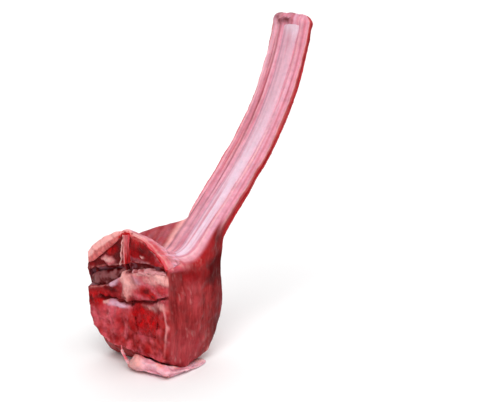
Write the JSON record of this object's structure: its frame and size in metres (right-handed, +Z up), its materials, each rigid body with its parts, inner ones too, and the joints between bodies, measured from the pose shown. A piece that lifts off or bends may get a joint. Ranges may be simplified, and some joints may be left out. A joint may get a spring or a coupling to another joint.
{
  "type": "raw mutton rib chop",
  "caption": "Thick raw mutton rib chop standing on its fat: a block of eye muscle with halved vertebrae in the sawn face, and a long curved rib in a strip of meat.",
  "frame": {"origin": "middle of the fat's flat underside, on the surface that the chop stands on", "axes": "+Z up; +X from the sawn spine face towards the rib's end; -Y is the cut side that the rib is flush with"},
  "size_m": [0.1408, 0.0568, 0.1771],
  "materials": {
    "raw_meat": "wet dark red muscle, with soft sheen",
    "bone": "pale pinkish bone under a thin lining",
    "marrow_bone": "sawn red spongy bone, moist",
    "cartilage": "pinkish white cartilage, moist",
    "fat": "soft cream and pink fat, moist"
  },
  "bodies": {
    "root": {"meat": "raw_meat", "rib_bone": "bone", "vertebra_near": "marrow_bone", "vertebra_far": "marrow_bone", "disc": "cartilage", "ligament": "fat", "fat_cap": "fat"}
  },
  "joints": []
}
